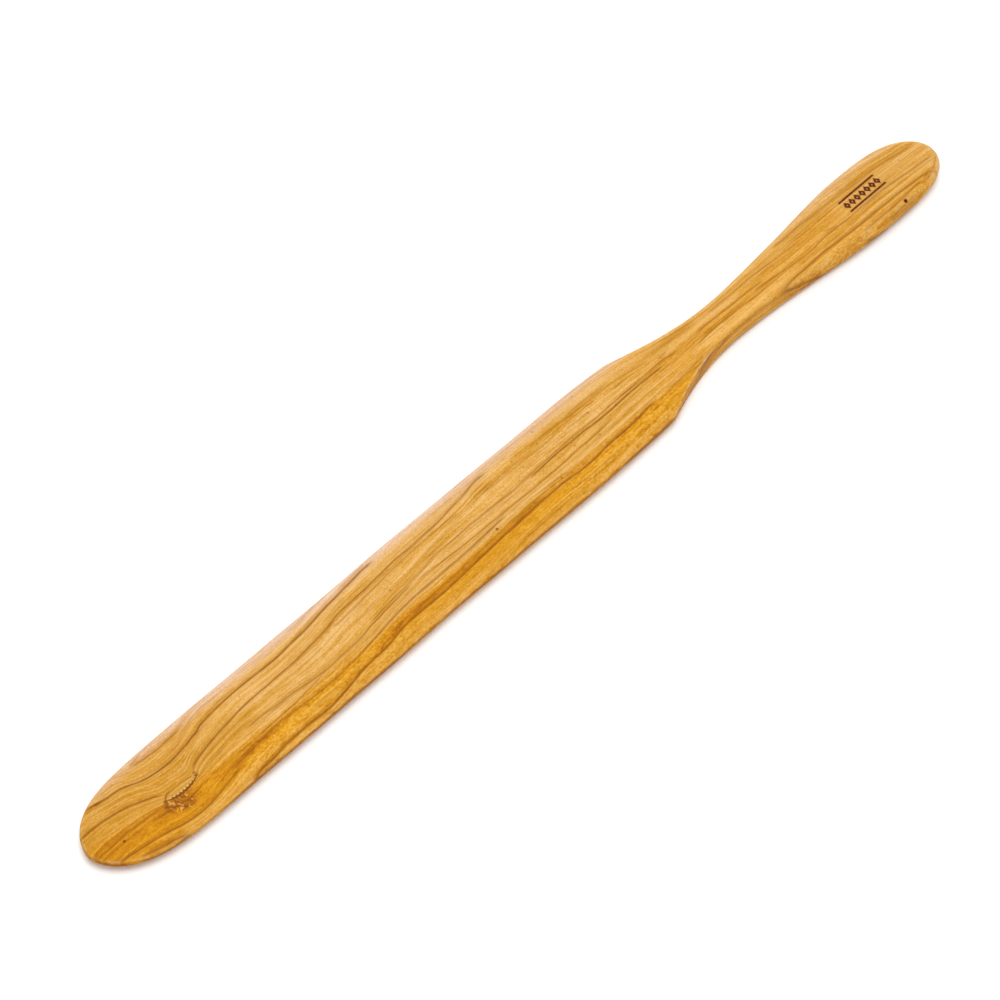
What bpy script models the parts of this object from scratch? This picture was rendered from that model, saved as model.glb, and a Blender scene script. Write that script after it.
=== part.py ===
"""Crepe turner carved from one board of olive wood.

A long thin blade with a rounded tip, two shoulders, a waisted neck and a paddle handle with a rounded
butt. +X runs from the butt of the handle to the tip of the blade, +Z is up, and the tool lies on z = 0
with the middle of its bounding box over the origin. Lengths are in metres. "s" is the distance from the
tip of the blade, measured back along the tool.
"""

import math

import bmesh
import bpy
import numpy as np

NAME = "turner"

# Plan
LENGTH = 0.350
BLADE_HALF_WIDTH = 0.0149
TIP_LENGTH = 0.050          # the part of the blade that is rounded off at the tip
TIP_ROUNDNESS = (4.8, 1.7)  # exponents of its superellipse, along and across
BLADE_END = 0.186           # where the blade starts to draw in towards the shoulders
SHOULDER = 0.2188           # the corner where the concave neck cut starts
SHOULDER_HALF_WIDTH = 0.01385
WAIST = 0.2552              # the narrowest place of the neck
WAIST_HALF_WIDTH = 0.0063
HANDLE_WIDEST = 0.3182
HANDLE_HALF_WIDTH = 0.0116
BUTT_ROUNDNESS = (3.6, 2.0)
BUTT_SKEW = 0.153           # the butt was cut a little out of square

# Outline between the rounded tip and the rounded butt: place, half width, slope before, slope after
OUTLINE = (
    (TIP_LENGTH, BLADE_HALF_WIDTH, 0.0, 0.0),
    (BLADE_END, BLADE_HALF_WIDTH, 0.0, 0.0),
    (SHOULDER, SHOULDER_HALF_WIDTH, -0.07, -0.42),
    (0.234, 0.0087, -0.24, -0.24),
    (WAIST, WAIST_HALF_WIDTH, 0.0, 0.0),
    (0.290, 0.0090, 0.122, 0.122),
    (HANDLE_WIDEST, HANDLE_HALF_WIDTH, 0.0, 0.0),
)

# Thickness, measured up and down from the middle plane of the board
MIDDLE = 0.0035             # height of that plane, half the board's thickness
EDGE_HALF = 0.00105         # half the thickness of the blade's edge
CROWN_TIP = 0.0023          # how far the blade's upper face rises over the middle plane, near the tip
CROWN_BLADE = 0.0029        # and near the shoulders
CROWN_FALLOFF = 4.2         # exponent: a flat crown that rolls off towards the edges
STRIP_BLADE = 0.0055        # half width of the planar strip underneath, on the blade
STRIP_HANDLE = 0.0022       # and on the handle
STRIP_SHARE = 0.45          # the most that it takes of the half width, near the two ends
BELLY_FALLOFF = 2.4
HANDLE_ROLL = 0.0005        # the handle's underside rises this far from the strip to the arris
BLANK_TAPER = 0.02          # how fast the blade's crown narrows past the shoulders
TIP_LIFT = 0.0009           # the belly rises this far at the tip
TIP_LIFT_LENGTH = 0.070
BUTT_LIFT = 0.0004          # and this far at the butt
BUTT_LIFT_LENGTH = 0.018
SLAB = (0.235, 0.262)       # where the blade's lens section turns into the handle's slab

# Rounding of the arrises
ROUND_BLADE = 0.0007
ROUND_WAIST = 0.0012
ROUND_HANDLE = 0.0030

# Mesh: runs of the outline with the number of steps in each, all evenly spaced along the curve
RUNS = (
    (0.0, 0.012, 12),
    (0.012, TIP_LENGTH, 8),
    (TIP_LENGTH, BLADE_END, 8),
    (BLADE_END, SHOULDER, 5),
    (SHOULDER, WAIST, 12),
    (WAIST, HANDLE_WIDEST, 9),
    (HANDLE_WIDEST, 0.344, 8),
    (0.344, LENGTH, 9),
)
ROUND_STEPS = 3
FACE_RINGS = (1.0, 0.9, 0.78, 0.62, 0.4, 0.2)
LOWER_RINGS = (0.68, 0.80, 0.91, 1.0)  # outside the planar strip
SPINE = (0.022, LENGTH - 0.011)  # the line that the rings of each face close in on
SHARP_ANGLE = math.radians(35)

WOOD_COLOUR = (0.72, 0.39, 0.10, 1.0)
WOOD_ROUGHNESS = 0.45


def smooth_step(x, start, end):
    t = min(max((x - start) / (end - start), 0.0), 1.0)
    return t * t * (3 - 2 * t)


def hermite(x, start, end):
    """Cubic between two outline knots, leaving the first and reaching the second at their slopes."""
    x0, y0, _, slope0 = start
    x1, y1, slope1, _ = end
    span = x1 - x0
    t = (x - x0) / span
    return (
        (2 * t**3 - 3 * t**2 + 1) * y0
        + (t**3 - 2 * t**2 + t) * span * slope0
        + (3 * t**2 - 2 * t**3) * y1
        + (t**3 - t**2) * span * slope1
    )


def rounded_end(reach, exponents, half_width):
    """Half width of a superellipse end, where reach goes from 0 at its widest to 1 at its tip."""
    along, across = exponents
    return half_width * max(1 - reach**along, 0.0) ** (1 / across)


def half_width(s):
    if s <= TIP_LENGTH:
        return rounded_end(1 - s / TIP_LENGTH, TIP_ROUNDNESS, BLADE_HALF_WIDTH)
    if s >= HANDLE_WIDEST:
        reach = (s - HANDLE_WIDEST) / (LENGTH - HANDLE_WIDEST)
        return rounded_end(reach, BUTT_ROUNDNESS, HANDLE_HALF_WIDTH)
    for start, end in zip(OUTLINE, OUTLINE[1:]):
        if s <= end[0]:
            return hermite(s, start, end)
    return HANDLE_HALF_WIDTH


def run_stations(start, end, steps):
    """Stations from start up to, but not including, end, evenly spaced along the outline."""
    span = np.linspace(0, math.pi, 400)
    s = start + (end - start) * (1 - np.cos(span)) / 2
    w = np.array([half_width(value) for value in s])
    travelled = np.concatenate([[0], np.cumsum(np.hypot(np.diff(s), np.diff(w)))])
    return [float(v) for v in np.interp(np.linspace(0, travelled[-1], steps + 1)[:-1], travelled, s)]


def outline():
    """(s, y) all the way round: along +y from the tip to the butt, and back along -y."""
    stations = [s for run in RUNS for s in run_stations(*run)] + [LENGTH]
    there = [(s, half_width(s)) for s in stations]
    back = [(s, -half_width(s)) for s in reversed(stations[1:-1])]
    return there + back


def inward(points, i):
    """Unit vector from outline point i into the plan."""
    before = points[i - 1]
    after = points[(i + 1) % len(points)]
    ds, dy = after[0] - before[0], after[1] - before[1]
    length = math.hypot(ds, dy)
    return dy / length, -ds / length


def rounding(s):
    """Radius of the arris at s."""
    at_waist = ROUND_BLADE + (ROUND_WAIST - ROUND_BLADE) * smooth_step(s, SHOULDER, WAIST)
    return at_waist + (ROUND_HANDLE - ROUND_WAIST) * smooth_step(s, WAIST + 0.010, HANDLE_WIDEST)


def share_of_blank(s):
    """How far the outline reaches into the blade's crown: 1 on the blade, less where the neck is cut in."""
    if s <= SHOULDER:
        return 1.0
    return half_width(s) / (SHOULDER_HALF_WIDTH - BLANK_TAPER * (s - SHOULDER))


def upper(s, across):
    """Height of the upper face over the middle plane; across is 0 on the centre line and 1 at the edge."""
    crown = CROWN_TIP + (CROWN_BLADE - CROWN_TIP) * smooth_step(s, 0.02, 0.15)
    crown += (MIDDLE - CROWN_BLADE) * smooth_step(s, 0.190, 0.250)
    lens = EDGE_HALF + (crown - EDGE_HALF) * (1 - across**CROWN_FALLOFF)
    return lens + (MIDDLE - lens) * smooth_step(s, *SLAB)


def lift(s):
    """How far the middle of the lower face stands over z = 0, near the two ends."""
    tip = max(1 - s / TIP_LIFT_LENGTH, 0.0)
    butt = max(1 - (LENGTH - s) / BUTT_LIFT_LENGTH, 0.0)
    return TIP_LIFT * tip**2 + BUTT_LIFT * butt**2


def strip_share(s, half):
    """Share of the half width that the planar strip takes. It narrows through the neck, in a hollow curve."""
    wide = min(max((WAIST - s) / (WAIST - BLADE_END), 0.0), 1.0) ** 2
    strip = STRIP_HANDLE + (STRIP_BLADE - STRIP_HANDLE) * wide
    return min(strip / max(half, 0.0001), STRIP_SHARE)


def lower(s, across, half):
    """Depth of the lower face under the middle plane, where half is the half width that across is a share of."""
    middle = MIDDLE - lift(s)
    flat = strip_share(s, half)
    roll = max((across - flat) / (1 - flat), 0.0) ** BELLY_FALLOFF
    lens = middle - (middle - EDGE_HALF) * roll
    slab = middle - HANDLE_ROLL * roll
    return lens + (slab - lens) * smooth_step(s, *SLAB)


def place(s, y, z):
    """Position of a point, with the butt's skew; centre_on_origin moves the mesh lengthways later."""
    s += BUTT_SKEW * y * smooth_step(s, HANDLE_WIDEST - 0.010, LENGTH)
    return (-s, y, z)


def spine_point(s):
    return min(max(s, SPINE[0]), SPINE[1])


def column(points, i):
    """The points over one outline point: down the upper face, round the edge and in under the lower face."""
    s, y = points[i]
    n_s, n_y = inward(points, i)
    radius = rounding(s)
    share = share_of_blank(s)
    inner = (s + n_s * radius, y + n_y * radius)
    foot = spine_point(s)

    def ring(rho):
        return foot + (inner[0] - foot) * rho, inner[1] * rho

    above, arch, below, under = [], [], [], []
    for rho in reversed(FACE_RINGS):
        s_ring, y_ring = ring(rho)
        above.append((s_ring, y_ring, MIDDLE + upper(s_ring, rho * share)))
    half = abs(inner[1])
    flat = strip_share(inner[0], half)
    for rho in (flat / 2, flat, *LOWER_RINGS):
        s_ring, y_ring = ring(rho)
        blank = share + (1 - share) * smooth_step(s_ring, *SLAB)
        below.append((s_ring, y_ring, MIDDLE - lower(s_ring, rho * blank, half / blank)))
    top = upper(inner[0], share) - radius
    bottom = lower(inner[0], share + (1 - share) * smooth_step(inner[0], *SLAB), half) - radius
    for step in range(ROUND_STEPS - 1, -1, -1):
        angle = step / ROUND_STEPS * math.pi / 2
        inset = radius * (1 - math.cos(angle))
        at = (s + n_s * inset, y + n_y * inset)
        arch.append((*at, MIDDLE + top + radius * math.sin(angle)))
        under.append((*at, MIDDLE - bottom - radius * math.sin(angle)))
    return [place(*p) for p in above + arch + under[::-1] + below[::-1]]


def build_mesh():
    points = outline()
    count = len(points)
    half = count // 2
    mesh = bmesh.new()
    columns = [[mesh.verts.new(p) for p in column(points, i)] for i in range(count)]

    # The spine: one upper and one lower vertex for each pair of facing columns, and one at each end
    spine = {}
    for i in range(half + 1):
        foot = spine_point(points[i][0])
        if foot not in spine:
            ends = (MIDDLE + upper(foot, 0.0), MIDDLE - lower(foot, 0.0, 1.0))
            spine[foot] = [mesh.verts.new(place(foot, 0.0, z)) for z in ends]

    for i in range(count):
        near, far = columns[i], columns[(i + 1) % count]
        for j in range(len(near) - 1):
            mesh.faces.new((near[j], near[j + 1], far[j + 1], far[j]))
        near_foot = spine[spine_point(points[i][0])]
        far_foot = spine[spine_point(points[(i + 1) % count][0])]
        for side, row in ((0, 0), (1, -1)):
            corners = [near[row], far[row], far_foot[side], near_foot[side]]
            if near_foot is far_foot:
                corners.pop()
            if side == 1:
                corners.reverse()
            mesh.faces.new(corners)
    bmesh.ops.recalc_face_normals(mesh, faces=mesh.faces)
    return mesh


def centre_on_origin(mesh):
    """Moves the mesh lengthways, so that the middle of its box is over the origin."""
    x = [v.co.x for v in mesh.verts]
    middle = (min(x) + max(x)) / 2
    for vertex in mesh.verts:
        vertex.co.x -= middle


def wood():
    material = bpy.data.materials.new("olive_wood")
    material.use_nodes = True
    shader = material.node_tree.nodes["Principled BSDF"]
    shader.inputs["Base Color"].default_value = WOOD_COLOUR
    shader.inputs["Roughness"].default_value = WOOD_ROUGHNESS
    shader.inputs["Metallic"].default_value = 0.0
    return material


def main():
    for obj in list(bpy.data.objects):
        bpy.data.objects.remove(obj, do_unlink=True)
    mesh = build_mesh()
    centre_on_origin(mesh)
    data = bpy.data.meshes.new(NAME)
    mesh.to_mesh(data)
    mesh.free()
    data.shade_smooth()
    data.set_sharp_from_angle(angle=SHARP_ANGLE)
    data.materials.append(wood())
    turner = bpy.data.objects.new(NAME, data)
    bpy.context.scene.collection.objects.link(turner)


main()
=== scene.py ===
"""Olive-wood crepe turner: the looks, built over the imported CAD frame.

"s" is the distance from the tip of the blade along the tool and "y" the distance from its centre line,
positive towards the far side (-Y of the row frame). Grain is laid out in millimetres, shapes in metres.
"""

import math

import bpy
import numpy as np
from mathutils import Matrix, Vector


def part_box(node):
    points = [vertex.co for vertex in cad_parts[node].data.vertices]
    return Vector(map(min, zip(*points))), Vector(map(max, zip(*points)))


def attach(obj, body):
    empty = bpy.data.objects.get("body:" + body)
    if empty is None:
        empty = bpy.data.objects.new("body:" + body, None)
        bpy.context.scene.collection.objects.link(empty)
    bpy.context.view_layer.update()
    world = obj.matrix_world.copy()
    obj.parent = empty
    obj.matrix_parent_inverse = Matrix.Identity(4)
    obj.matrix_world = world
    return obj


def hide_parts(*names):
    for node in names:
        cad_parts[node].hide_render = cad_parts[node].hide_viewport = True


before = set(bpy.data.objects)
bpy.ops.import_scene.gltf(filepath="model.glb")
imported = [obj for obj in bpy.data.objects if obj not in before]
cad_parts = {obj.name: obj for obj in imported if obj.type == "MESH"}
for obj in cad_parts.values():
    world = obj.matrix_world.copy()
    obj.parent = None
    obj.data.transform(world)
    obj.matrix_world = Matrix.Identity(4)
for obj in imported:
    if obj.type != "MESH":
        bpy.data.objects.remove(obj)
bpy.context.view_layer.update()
LOW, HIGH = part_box("turner")

# -------------------- shape, as in the CAD source, which explains it
LENGTH = 0.350
BLADE_HALF_WIDTH = 0.0149
TIP_LENGTH = 0.050
TIP_ROUNDNESS = (4.8, 1.7)
BLADE_END = 0.186
SHOULDER = 0.2188
SHOULDER_HALF_WIDTH = 0.01385
WAIST = 0.2552
WAIST_HALF_WIDTH = 0.0063
HANDLE_WIDEST = 0.3182
HANDLE_HALF_WIDTH = 0.0116
BUTT_ROUNDNESS = (3.6, 2.0)
BUTT_SKEW = 0.153
SKEW_START = HANDLE_WIDEST - 0.010
# Place, half width, slope before, slope after
OUTLINE = (
    (TIP_LENGTH, BLADE_HALF_WIDTH, 0.0, 0.0),
    (BLADE_END, BLADE_HALF_WIDTH, 0.0, 0.0),
    (SHOULDER, SHOULDER_HALF_WIDTH, -0.07, -0.42),
    (0.234, 0.0087, -0.24, -0.24),
    (WAIST, WAIST_HALF_WIDTH, 0.0, 0.0),
    (0.290, 0.0090, 0.122, 0.122),
    (HANDLE_WIDEST, HANDLE_HALF_WIDTH, 0.0, 0.0),
)
MIDDLE = 0.0035
EDGE_HALF = 0.00105
CROWN_TIP = 0.0023          # how far the upper face rises over the middle plane, near the tip
CROWN_BLADE = 0.0029        # and near the shoulders
CROWN_RISE = (0.02, 0.15)   # where it goes from the one to the other
CROWN_NECK = (0.190, 0.250)  # and on to the full thickness of the handle
CROWN_FALLOFF = 4.2
STRIP_BLADE = 0.0055
STRIP_HANDLE = 0.0022
STRIP_SHARE = 0.45
BELLY_FALLOFF = 2.4
HANDLE_ROLL = 0.0005
BLANK_TAPER = 0.02
TIP_LIFT = 0.0009
TIP_LIFT_LENGTH = 0.070
BUTT_LIFT = 0.0004
BUTT_LIFT_LENGTH = 0.018
SLAB = (0.235, 0.262)       # where the blade's lens section turns into the handle's slab
ROUND_BLADE = 0.0007        # rounding of the arrises
ROUND_WAIST = 0.0012
ROUND_HANDLE = 0.0030
ROUND_HANDLE_START = WAIST + 0.010
CRISP = 0.0004              # not in the CAD: how much sharper the arris is along the shoulder
CRISP_START = (0.190, 0.214)
CRISP_END = (0.236, 0.262)

# -------------------- how finely it is built
STEP = 0.00042              # between columns, along the outline
OUTLINE_SAMPLES = 3000      # points on which each run of the outline is measured
RUNS = ((0.0, TIP_LENGTH), (TIP_LENGTH, SHOULDER), (SHOULDER, HANDLE_WIDEST), (HANDLE_WIDEST, LENGTH))
FACE_RINGS = 42
ROUND_STEPS = 7
WALL_STEPS = 4
SPINE_SETBACK = 0.010       # how far the spine stops short of either end
SPINE_BEND = 0.030          # the stretch over which the columns lean towards it

# Rows of a column, counted from the spine of the upper face down to the spine of the lower one
WALL_ROW = FACE_RINGS + ROUND_STEPS
LOWER_FACE_ROW = WALL_ROW + WALL_STEPS - 1 + ROUND_STEPS
SPINE_DEPTH = 5.5           # mm, from the upper face to the lower spine


def smooth_step(x, start, end):
    t = np.clip((x - start) / (end - start), 0.0, 1.0)
    return t * t * (3 - 2 * t)


def within(s, start, end, fade):
    """1 between start and end, easing to 0 over fade outside them."""
    return smooth_step(s, start - fade, start) * (1 - smooth_step(s, end, end + fade))


def hermite(t, span, y0, slope0, y1, slope1):
    """Smooth curve over a span, from y0 to y1 with the given slopes, at t from 0 to 1."""
    return (
        (2 * t**3 - 3 * t**2 + 1) * y0
        + (t**3 - 2 * t**2 + t) * span * slope0
        + (3 * t**2 - 2 * t**3) * y1
        + (t**3 - t**2) * span * slope1
    )


def rounded_end(reach, exponents, half):
    along, across = exponents
    return half * np.maximum(1 - np.clip(reach, 0, 1) ** along, 0.0) ** (1 / across)


def half_width(s):
    s = np.asarray(s, float)
    half = rounded_end(1 - s / TIP_LENGTH, TIP_ROUNDNESS, BLADE_HALF_WIDTH)
    for (s0, half0, _, slope0), (s1, half1, slope1, _) in zip(OUTLINE, OUTLINE[1:]):
        piece = hermite((s - s0) / (s1 - s0), s1 - s0, half0, slope0, half1, slope1)
        half = np.where((s > s0) & (s <= s1), piece, half)
    reach = (s - HANDLE_WIDEST) / (LENGTH - HANDLE_WIDEST)
    butt = rounded_end(reach, BUTT_ROUNDNESS, HANDLE_HALF_WIDTH)
    return np.where(s > HANDLE_WIDEST, butt, half)


def stations():
    """Stations from tip to butt, evenly spaced along the outline, with one at the end of each run."""
    found = []
    for start, end in RUNS:
        s = start + (end - start) * (1 - np.cos(np.linspace(0, math.pi, OUTLINE_SAMPLES))) / 2
        travelled = np.concatenate([[0], np.cumsum(np.hypot(np.diff(s), np.diff(half_width(s))))])
        steps = max(int(round(travelled[-1] / STEP)), 4)
        found.append(np.interp(np.linspace(0, travelled[-1], steps + 1)[:-1], travelled, s))
    return np.concatenate(found + [[LENGTH]])


def rounding(s):
    waist = ROUND_BLADE + (ROUND_WAIST - ROUND_BLADE) * smooth_step(s, SHOULDER, WAIST)
    waist = waist - CRISP * smooth_step(s, *CRISP_START) * (1 - smooth_step(s, *CRISP_END))
    return waist + (ROUND_HANDLE - ROUND_WAIST) * smooth_step(s, ROUND_HANDLE_START, HANDLE_WIDEST)


def share_of_blank(s):
    blank = SHOULDER_HALF_WIDTH - BLANK_TAPER * (s - SHOULDER)
    return np.where(s <= SHOULDER, 1.0, half_width(s) / blank)


def upper(s, across):
    """How far the upper face lies over the middle plane."""
    crown = CROWN_TIP + (CROWN_BLADE - CROWN_TIP) * smooth_step(s, *CROWN_RISE)
    crown = crown + (MIDDLE - CROWN_BLADE) * smooth_step(s, *CROWN_NECK)
    lens = EDGE_HALF + (crown - EDGE_HALF) * (1 - across**CROWN_FALLOFF)
    return lens + (MIDDLE - lens) * smooth_step(s, *SLAB)


def lower(s, across, half):
    """How far the lower face lies under the middle plane."""
    tip = np.maximum(1 - s / TIP_LIFT_LENGTH, 0.0)
    butt = np.maximum(1 - (LENGTH - s) / BUTT_LIFT_LENGTH, 0.0)
    middle = MIDDLE - TIP_LIFT * tip**2 - BUTT_LIFT * butt**2
    wide = np.clip((WAIST - s) / (WAIST - BLADE_END), 0.0, 1.0) ** 2
    strip = STRIP_HANDLE + (STRIP_BLADE - STRIP_HANDLE) * wide
    flat = np.minimum(strip / np.maximum(half, 0.0001), STRIP_SHARE)
    roll = np.maximum((across - flat) / (1 - flat), 0.0) ** BELLY_FALLOFF
    lens = middle - (middle - EDGE_HALF) * roll
    slab = middle - HANDLE_ROLL * roll
    return lens + (slab - lens) * smooth_step(s, *SLAB)


def spine_foot(s):
    """Where the column over station s meets the spine. Near the ends the columns lean towards the middle."""
    lean = SPINE_SETBACK * (1 - smooth_step(s, 0.0, SPINE_BEND))
    lean = lean - SPINE_SETBACK * smooth_step(s, LENGTH - SPINE_BEND, LENGTH)
    return s + lean


def build_columns():
    """Points (s, y, z) of every column of the loft, y along the row's +Y, and of the two spines."""
    there = stations()
    s = np.concatenate([there, there[-2:0:-1]])
    sign = np.concatenate([np.ones(len(there)), -np.ones(len(there) - 2)])
    y = half_width(s) * sign
    ds, dy = np.roll(s, -1) - np.roll(s, 1), np.roll(y, -1) - np.roll(y, 1)
    size = np.hypot(ds, dy)
    inward_s, inward_y = dy / size, -ds / size
    radius = rounding(s)
    share = share_of_blank(s)
    inner_s, inner_y = s + inward_s * radius, y + inward_y * radius
    half = np.abs(inner_y)

    above, below = [], []
    foot = spine_foot(s)
    for rho in np.arange(1, FACE_RINGS + 1) / FACE_RINGS:
        at = foot + (inner_s - foot) * rho
        blank = share + (1 - share) * smooth_step(at, *SLAB)
        above.append((at, inner_y * rho, MIDDLE + upper(at, rho * share)))
        below.append((at, inner_y * rho, MIDDLE - lower(at, rho * blank, half / blank)))

    blank = share + (1 - share) * smooth_step(inner_s, *SLAB)
    top = upper(inner_s, share) - radius
    bottom = lower(inner_s, blank, half / blank) - radius
    arch_above, arch_below = [], []
    for step in range(ROUND_STEPS - 1, -1, -1):
        angle = step / ROUND_STEPS * math.pi / 2
        inset = radius * (1 - math.cos(angle))
        at = (s + inward_s * inset, y + inward_y * inset)
        arch_above.append((*at, MIDDLE + top + radius * math.sin(angle)))
        arch_below.append((*at, MIDDLE - bottom - radius * math.sin(angle)))
    wall = [(s, y, MIDDLE + top - (top + bottom) * (step / WALL_STEPS)) for step in range(1, WALL_STEPS)]

    rows = above + arch_above + wall + arch_below[::-1] + below[::-1]
    columns = np.stack([np.stack(row, -1) for row in rows], 1)
    foot = spine_foot(there)
    zero = np.zeros_like(foot)
    upper_spine = np.stack([foot, zero, MIDDLE + upper(foot, zero)], -1)
    lower_spine = np.stack([foot, zero, MIDDLE - lower(foot, zero, np.ones_like(foot))], -1)
    return columns, upper_spine, lower_spine


def loft_faces(count, rows, half):
    """Quads between neighbouring columns, and between each column and the two spines."""
    index = np.arange(count * rows).reshape(count, rows)
    around = np.roll(index, -1, axis=0)
    sides = np.stack([index[:, :-1], index[:, 1:], around[:, 1:], around[:, :-1]], -1).reshape(-1, 4)
    spine = np.arange(count)
    spine = np.where(spine <= half, spine, count - spine)
    up = count * rows + spine
    down = up + half + 1
    tops = np.stack([index[:, 0], around[:, 0], np.roll(up, -1), up], -1)
    unders = np.stack([index[:, -1], down, np.roll(down, -1), around[:, -1]], -1)
    return np.concatenate([sides, tops, unders])


# -------------------- the figure of the wood
def curve(knots, s):
    """Smooth line through the given knots (s, y), level beyond its two ends."""
    xs, ys = (np.array(v, float) for v in zip(*knots))
    slope = np.empty_like(ys)
    secant = np.diff(ys) / np.diff(xs)
    slope[1:-1] = (secant[1:] + secant[:-1]) / 2
    slope[0], slope[-1] = secant[0], secant[-1]
    at = np.clip(s, xs[0], xs[-1])
    k = np.clip(np.searchsorted(xs, at) - 1, 0, len(xs) - 2)
    span = xs[k + 1] - xs[k]
    return hermite((at - xs[k]) / span, span, ys[k], slope[k], ys[k + 1], slope[k + 1])


KNOT = (27.6, -6.2)         # the rough knot, in mm
EYE = (31.1, -3.0)          # the eye above it
EYE_HALF = (6.1, 1.25)
PIN = (326.2, -10.3)        # the pin knot
PIN_SQUASH = 1.15           # how much narrower across it is than along
MARK_CENTRE = (320.0, 0.9)  # the burnt mark: lozenges between two rails
MARK_PITCH = 2.3
MARK_COUNT = 7
MARK_TALL = 3.0             # height of a lozenge
MARK_RAIL = 2.35            # distance of the rails from the middle

# Growth rings that run the whole length; the fine grain flows between them
FLOW = (
    ((0, 12), (10, 11), (15, 9.4), (20, 8.8), (25, 6.6), (30, 5.5), (35, 5.2), (40, 5.7), (45, 6.8),
     (50, 8), (58, 8.9), (65, 9.1), (80, 8.6), (90, 9.3), (100, 10.8), (110, 11.9), (120, 12.5),
     (140, 13), (190, 12.5), (215, 11.5), (235, 7.4), (250, 5), (270, 5.3), (290, 6.1), (310, 5.8),
     (320, 5.1), (330, 4.5), (340, 3.1), (350, 2)),
    ((0, 5.4), (5, 5), (10, 4.4), (16, 3.3), (22, 1), (27, -1.5), (31, -1.8), (36, -2.2), (40, 0.2),
     (45, 1.5), (50, 2.2), (60, 3.5), (70, 3.9), (80, 3.9), (90, 4.6), (97, 5.7), (105, 6.6), (120, 7.4),
     (130, 7.7), (140, 8.1), (150, 8.9), (160, 10.4), (175, 10.6), (200, 9.8), (215, 8.6), (232, 5.2),
     (245, 3.7), (260, 3.4), (275, 3.2), (293, 2.4), (310, 2.4), (330, 1.6), (350, 0.4)),
    ((0, -2.7), (10, -2.9), (20, -3.5), (25, -4.4), (31, -4.8), (37, -4), (45, -2.8), (55, -2.1),
     (65, -2.5), (75, -3.3), (85, -4.3), (95, -4.1), (105, -3), (115, -2), (122, -1.3), (130, 0),
     (140, 0.7), (160, 0.6), (175, 1.1), (190, 1.1), (200, 0.6), (215, 0.5), (230, 0.4), (245, 0.9),
     (255, 0.6), (270, 0.1), (285, -0.3), (300, -0.5), (330, -0.9), (350, -1.6)),
    ((0, -5), (20, -6), (30, -7.4), (45, -6.5), (60, -6.1), (74, -5.8), (85, -5.6), (95, -5.2),
     (105, -4.6), (115, -3.6), (125, -2.6), (135, -2.6), (145, -2.9), (160, -3.1), (170, -3.3),
     (190, -2.7), (203, -2.3), (215, -2), (230, -2.1), (245, -2), (255, -1.9), (270, -2.1), (280, -2.2),
     (290, -2.8), (299, -2.4), (308, -2.7), (320, -2.6), (330, -3.1), (340, -4.2), (350, -4.8)),
    ((0, -7.5), (10, -8.7), (20, -10.5), (25, -11.6), (30, -12.1), (35, -11.8), (40, -10.9), (46, -9.2),
     (52, -8.1), (62, -7.3), (72, -7.5), (82, -8.1), (90, -7.9), (100, -7), (110, -5.7), (120, -5.2),
     (140, -5.1), (155, -4.4), (190, -4.6), (240, -4.6), (280, -4.6), (300, -4.9), (320, -5.2),
     (335, -5.8), (350, -6.3)),
    ((0, -10), (10, -10.9), (16, -12.4), (22, -14), (35, -14.7), (46, -14.7), (55, -13.8), (65, -13.1),
     (75, -13.3), (84, -12.6), (92, -11.5), (105, -10.8), (110, -9.9), (125, -9.9), (140, -9.4),
     (150, -8.7), (165, -8.1), (175, -7.9), (187, -8.3), (197, -8), (213, -7.3), (225, -6.9),
     (240, -6.9), (255, -6.7), (268, -7.4), (280, -6.3), (295, -6), (310, -6.8), (330, -7.3),
     (343, -8.5), (350, -9.3)),
)
FLOW_LEVELS = (9.5, 4.4, -1.6, -4.6, -7.6, -11)

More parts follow.
